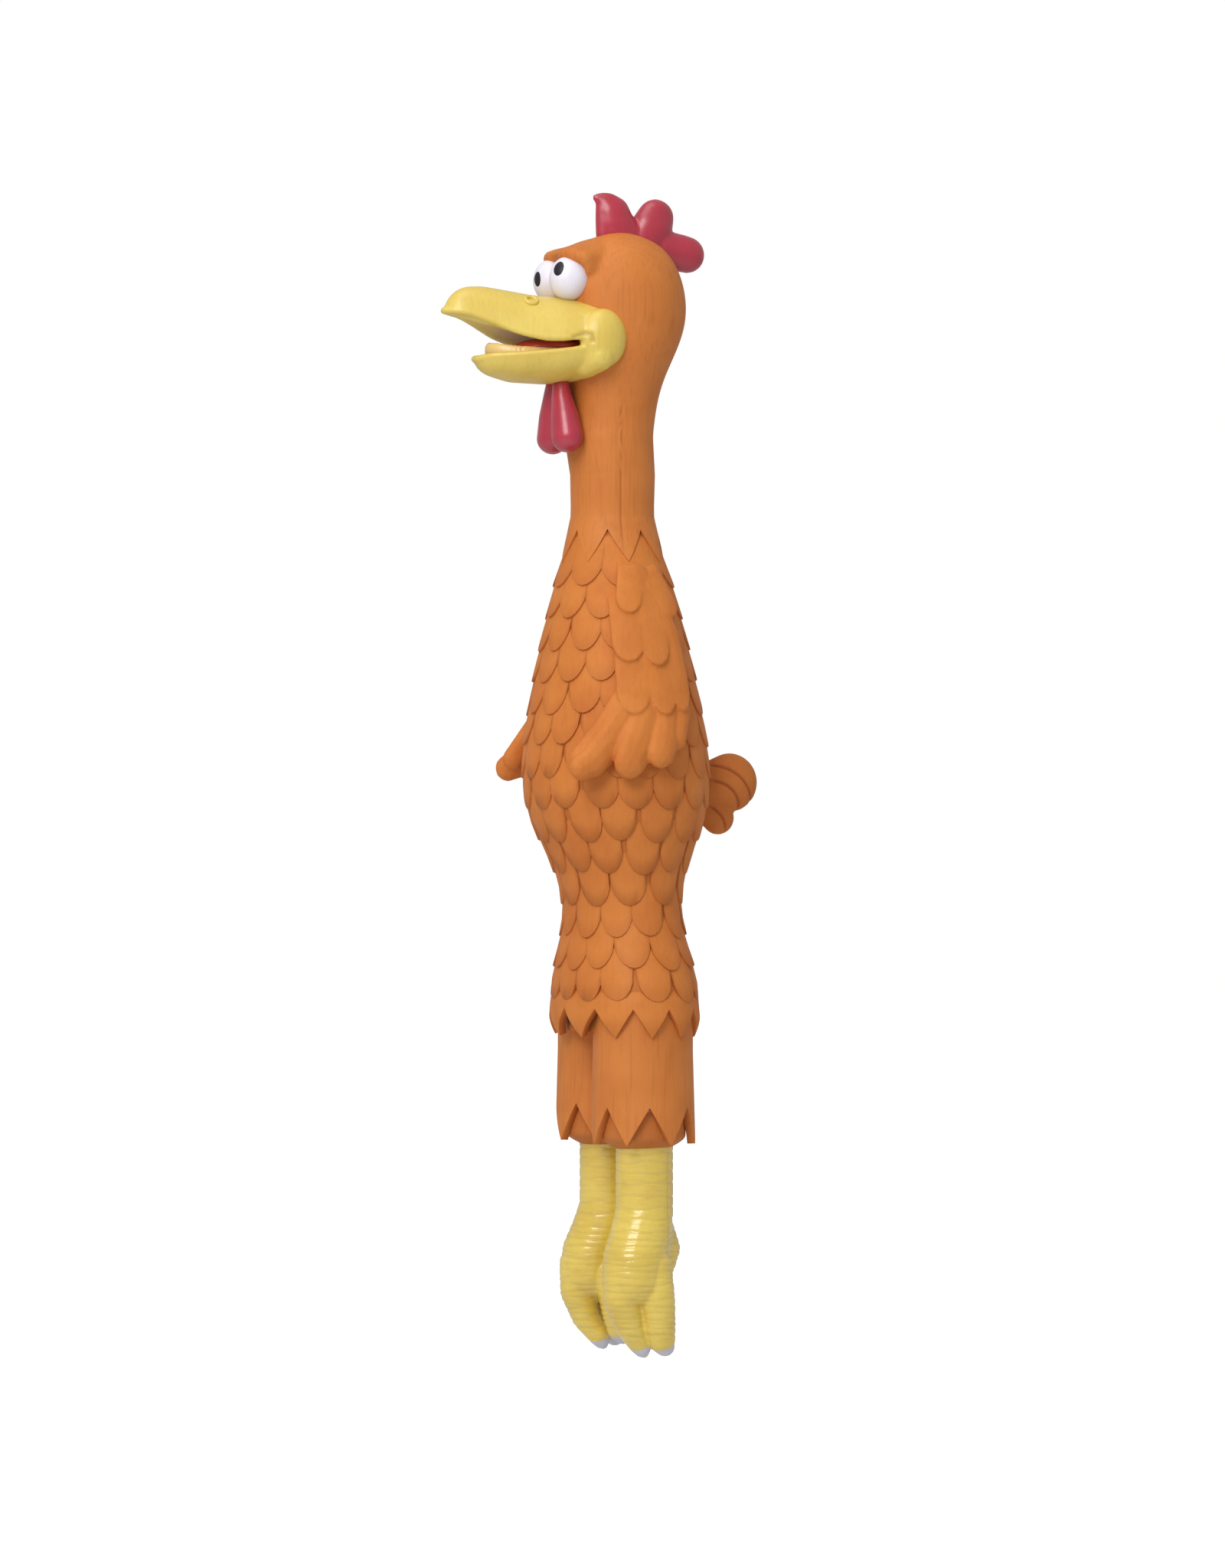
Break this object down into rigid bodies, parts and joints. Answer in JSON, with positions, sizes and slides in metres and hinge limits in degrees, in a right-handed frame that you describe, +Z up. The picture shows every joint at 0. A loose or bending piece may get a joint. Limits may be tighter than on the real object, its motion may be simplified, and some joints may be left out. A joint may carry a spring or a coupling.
{
  "type": "rubber chicken",
  "caption": "Stuffed latex rubber chicken with a bendable neck, open beak, flexing wings and tail, and dangling legs, made to be held and waved by the neck.",
  "frame": {"origin": "on the neck's axis, at the height where a hand closes round the neck", "axes": "+Z up along the neck's axis towards the comb, -Y out along the beak, +X towards the bird's left wing"},
  "size_m": [0.0908, 0.1182, 0.4002],
  "materials": {
    "orange_latex": "matte painted latex with moulded feathers",
    "beak_latex": "satin mustard-yellow painted latex",
    "leg_latex": "glossy yellow painted latex with moulded scales",
    "crimson_latex": "glossy crimson painted latex",
    "mouth_red": "satin red painted latex",
    "eye_white": "satin white paint on latex",
    "eye_black": "glossy black paint on latex",
    "claw_white": "satin off-white paint on latex",
    "stuffing": "loose white polyester fibre",
    "squeaker_plastic": "moulded translucent-white polyethylene"
  },
  "bodies": {
    "torso": {"torso_skin": "orange_latex", "torso_stuffing": "stuffing", "neck_collar": "orange_latex", "skirt_hem": "orange_latex", "hip_web": "orange_latex", "hip_stuffing": "stuffing", "left_wing_shoulder": "orange_latex", "right_wing_shoulder": "orange_latex", "tail_root": "orange_latex", "squeaker_base": "squeaker_plastic", "squeaker_reed_plug": "squeaker_plastic", "squeaker_reed": "squeaker_plastic", "squeaker_bellows": "squeaker_plastic"},
    "neck": {"neck_skin": "orange_latex", "neck_stuffing": "stuffing"},
    "head": {"head_skin": "orange_latex", "head_stuffing": "stuffing", "comb": "crimson_latex", "upper_beak": "beak_latex", "beak_cheeks": "beak_latex", "left_eye": "eye_white", "right_eye": "eye_white", "left_pupil": "eye_black", "right_pupil": "eye_black", "left_brow": "orange_latex", "right_brow": "orange_latex", "left_nostril": "beak_latex", "right_nostril": "beak_latex", "left_wattle": "crimson_latex", "right_wattle": "crimson_latex"},
    "jaw": {"lower_beak": "beak_latex", "lower_lip_ridge": "beak_latex", "mouth_lining": "mouth_red", "tongue": "mouth_red"},
    "left_wing": {"left_wing_tip": "orange_latex"},
    "right_wing": {"right_wing_tip": "orange_latex"},
    "tail": {"tail_fan": "orange_latex"},
    "squeaker_top": {"squeaker_cap": "squeaker_plastic"},
    "left_leg": {"left_thigh_skin": "orange_latex", "left_thigh_stuffing": "stuffing", "left_thigh_hem": "orange_latex", "left_shank_root": "leg_latex"},
    "left_foot": {"left_shank_skin": "leg_latex", "left_foot_skin": "leg_latex", "left_foot_stuffing": "stuffing", "left_claws": "claw_white"},
    "right_leg": {"right_thigh_skin": "orange_latex", "right_thigh_stuffing": "stuffing", "right_thigh_hem": "orange_latex", "right_shank_root": "leg_latex"},
    "right_foot": {"right_shank_skin": "leg_latex", "right_foot_skin": "leg_latex", "right_foot_stuffing": "stuffing", "right_claws": "claw_white"}
  },
  "joints": [
    {"name": "neck_nod", "type": "hinge", "parent": "torso", "child": "neck", "pos_m": [0, 0, 0.006], "axis": [1, 0, 0], "range_deg": [-30, 35], "stiffness_Nm_per_rad": 0.25},
    {"name": "neck_sway", "type": "hinge", "parent": "neck", "child": "head", "pos_m": [0, 0, 0.019], "axis": [0, 1, 0], "range_deg": [-20, 20], "stiffness_Nm_per_rad": 0.25},
    {"name": "beak_open", "type": "hinge", "parent": "head", "child": "jaw", "pos_m": [0, -0.017, 0.051], "axis": [1, 0, 0], "range_deg": [-8, 12], "stiffness_Nm_per_rad": 0.06},
    {"name": "left_wing_lift", "type": "hinge", "parent": "torso", "child": "left_wing", "pos_m": [0.0357, 0, -0.062], "axis": [0, -1, 0], "range_deg": [0, 35], "stiffness_Nm_per_rad": 0.03},
    {"name": "right_wing_lift", "type": "hinge", "parent": "torso", "child": "right_wing", "pos_m": [-0.0357, 0, -0.062], "axis": [0, 1, 0], "range_deg": [0, 35], "stiffness_Nm_per_rad": 0.03},
    {"name": "tail_flex", "type": "hinge", "parent": "torso", "child": "tail", "pos_m": [0, 0.039, -0.096], "axis": [1, 0, 0], "range_deg": [-12, 12], "stiffness_Nm_per_rad": 0.02},
    {"name": "left_leg_swing", "type": "hinge", "parent": "torso", "child": "left_leg", "pos_m": [0.015, 0.0045, -0.189], "axis": [1, 0, 0], "range_deg": [-30, 30], "stiffness_Nm_per_rad": 0.1},
    {"name": "left_foot_flex", "type": "hinge", "parent": "left_leg", "child": "left_foot", "pos_m": [0.015, 0.0045, -0.2265], "axis": [1, 0, 0], "range_deg": [-40, 40], "stiffness_Nm_per_rad": 0.03},
    {"name": "right_leg_swing", "type": "hinge", "parent": "torso", "child": "right_leg", "pos_m": [-0.015, 0.0045, -0.189], "axis": [1, 0, 0], "range_deg": [-30, 30], "stiffness_Nm_per_rad": 0.1},
    {"name": "right_foot_flex", "type": "hinge", "parent": "right_leg", "child": "right_foot", "pos_m": [-0.015, 0.0045, -0.2265], "axis": [1, 0, 0], "range_deg": [-40, 40], "stiffness_Nm_per_rad": 0.03},
    {"name": "squeaker_press", "type": "slide", "parent": "torso", "child": "squeaker_top", "axis": [0, 0, -1], "range_m": [0, 0.005], "stiffness_N_per_m": 600, "deforming": ["squeaker_bellows"]}
  ]
}
